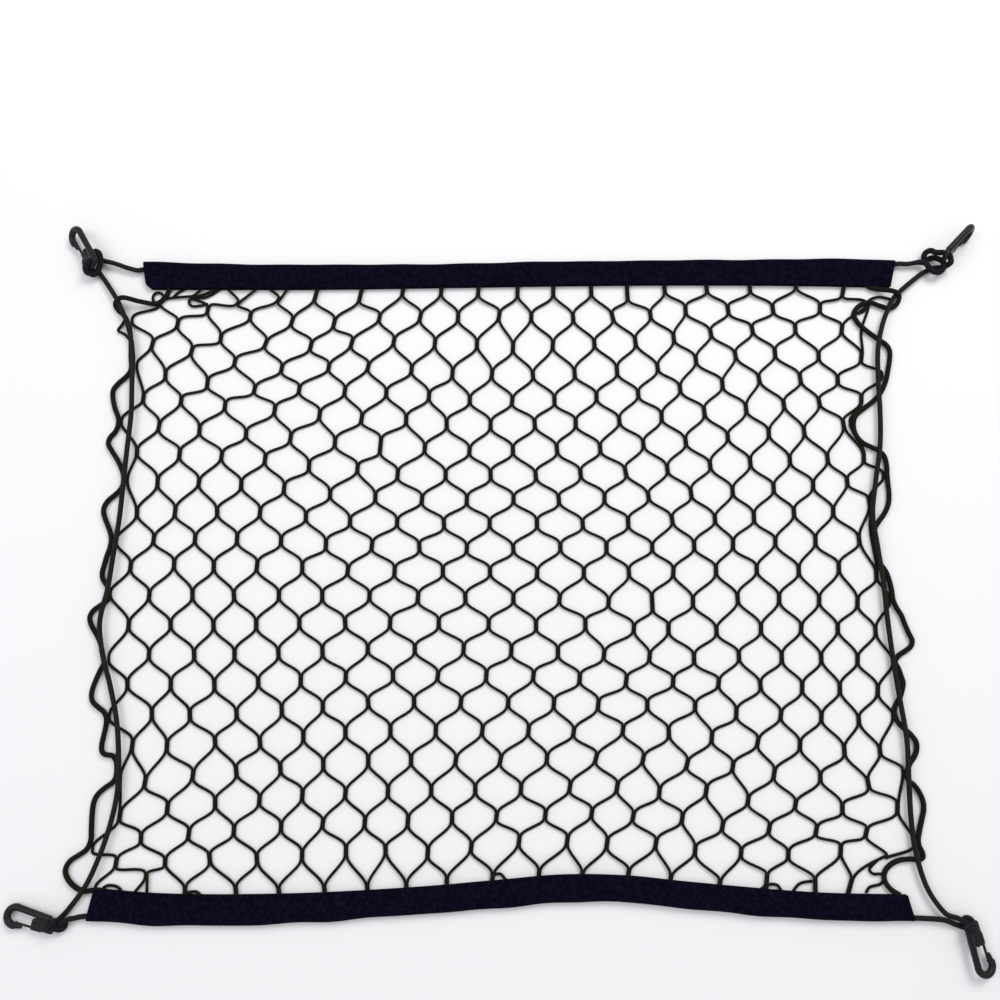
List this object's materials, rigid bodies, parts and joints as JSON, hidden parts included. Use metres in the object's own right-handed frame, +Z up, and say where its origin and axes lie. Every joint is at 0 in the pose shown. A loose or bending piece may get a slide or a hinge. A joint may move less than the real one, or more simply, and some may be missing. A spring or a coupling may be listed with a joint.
{
  "type": "cargo net",
  "caption": "Flat stretch net of knotless mesh with webbing sleeves at two ends, an elastic cord round it and a plastic snap hook at each corner.",
  "frame": {"origin": "the middle of the laid-out net, on the surface that it lies on", "axes": "+X along the sleeves to the right, +Y from the bottom sleeve to the top sleeve, +Z up"},
  "size_m": [1.0036, 0.773, 0.027],
  "materials": {
    "mesh_cord": "braided cord",
    "webbing": "folded webbing",
    "elastic_cord": "braided elastic cord",
    "hook_plastic": "semi-matt moulded plastic"
  },
  "bodies": {
    "root": {"net": "mesh_cord", "sleeve_top": "webbing", "sleeve_bottom": "webbing", "bungee_top": "elastic_cord", "bungee_bottom": "elastic_cord", "bungee_left": "elastic_cord", "bungee_right": "elastic_cord", "knot_top_left": "elastic_cord", "knot_top_right": "elastic_cord", "knot_bottom_left": "elastic_cord", "knot_bottom_right": "elastic_cord", "hook_top_left": "hook_plastic", "hook_top_right": "hook_plastic", "hook_bottom_left": "hook_plastic", "hook_bottom_right": "hook_plastic"}
  },
  "joints": []
}
